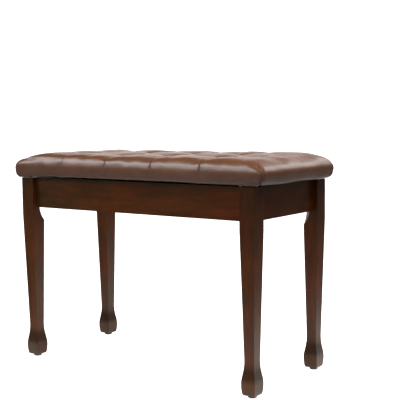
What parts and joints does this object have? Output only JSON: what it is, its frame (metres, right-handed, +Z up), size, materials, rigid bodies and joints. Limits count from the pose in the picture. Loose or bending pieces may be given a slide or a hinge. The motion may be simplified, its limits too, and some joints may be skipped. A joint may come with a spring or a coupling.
{
  "type": "piano bench",
  "caption": "Storage piano bench: tufted leather lid on a long hinge with a folding stay, shallow box of aprons, square tapered legs with spade feet.",
  "frame": {"origin": "on the floor under the middle of the bench", "axes": "+X along the bench to the player's right, -Y toward the player, +Y toward the hinge side, +Z up"},
  "size_m": [0.745, 0.3252, 0.5224],
  "materials": {
    "walnut": "satin",
    "plywood": "matte",
    "block_wood": "matte",
    "screw_steel": "satin",
    "zinc_steel": "satin",
    "glide_plastic": "satin",
    "bumper_rubber": "satin",
    "hinge_brass": "satin",
    "stay_steel": "satin",
    "foam": "matte",
    "leather": "satin",
    "dust_fabric": "matte",
    "staple_steel": "satin",
    "twine": "matte"
  },
  "bodies": {
    "box": {"leg_front_left": "walnut", "leg_front_right": "walnut", "leg_rear_left": "walnut", "leg_rear_right": "walnut", "front_apron": "walnut", "rear_apron": "walnut", "left_apron": "walnut", "right_apron": "walnut", "bottom_panel": "plywood", "corner_block_front_left": "block_wood", "corner_block_front_right": "block_wood", "corner_block_rear_left": "block_wood", "corner_block_rear_right": "block_wood", "corner_block_screws": "screw_steel", "hanger_bolts": "zinc_steel", "hanger_washers": "zinc_steel", "wing_nuts": "zinc_steel", "floor_glides": "glide_plastic", "glide_nails": "zinc_steel", "lid_bumpers": "bumper_rubber", "hinge_box_leaf": "hinge_brass", "hinge_pin": "hinge_brass", "hinge_box_screws": "hinge_brass", "stay_box_bracket": "stay_steel", "stay_box_screws": "screw_steel", "stay_box_rivet": "stay_steel"},
    "lid": {"hinge_lid_leaf": "hinge_brass", "hinge_lid_screws": "hinge_brass", "stay_lid_bracket": "stay_steel", "stay_lid_screws": "screw_steel", "stay_lid_rivet": "stay_steel", "seat_board": "plywood", "foam_pad": "foam", "seat_cover": "leather", "dust_cover": "dust_fabric", "cover_staples": "staple_steel", "tuft_buttons": "leather", "tuft_ties": "twine"},
    "lower_arm": {"stay_lower_arm": "stay_steel"},
    "upper_arm": {"stay_upper_arm": "stay_steel", "stay_elbow_rivet": "stay_steel"}
  },
  "joints": [
    {"name": "lid_hinge", "type": "hinge", "parent": "box", "child": "lid", "pos_m": [0, 0.1603, 0.4626], "axis": [-1, 0, 0], "range_deg": [0, 85]},
    {"name": "stay_box_pivot", "type": "hinge", "parent": "box", "child": "lower_arm", "pos_m": [0.3162, 0.0883, 0.4186], "axis": [-1, 0, 0], "range_deg": [0, 85]},
    {"name": "stay_lid_pivot", "type": "hinge", "parent": "lid", "child": "upper_arm", "pos_m": [0.3138, 0.0103, 0.4536], "axis": [-1, 0, 0], "range_deg": [-85, 0]}
  ],
  "couplings": [
    {"joint": "stay_box_pivot", "follows": "lid_hinge", "ratio": 1},
    {"joint": "stay_lid_pivot", "follows": "lid_hinge", "ratio": -1}
  ]
}
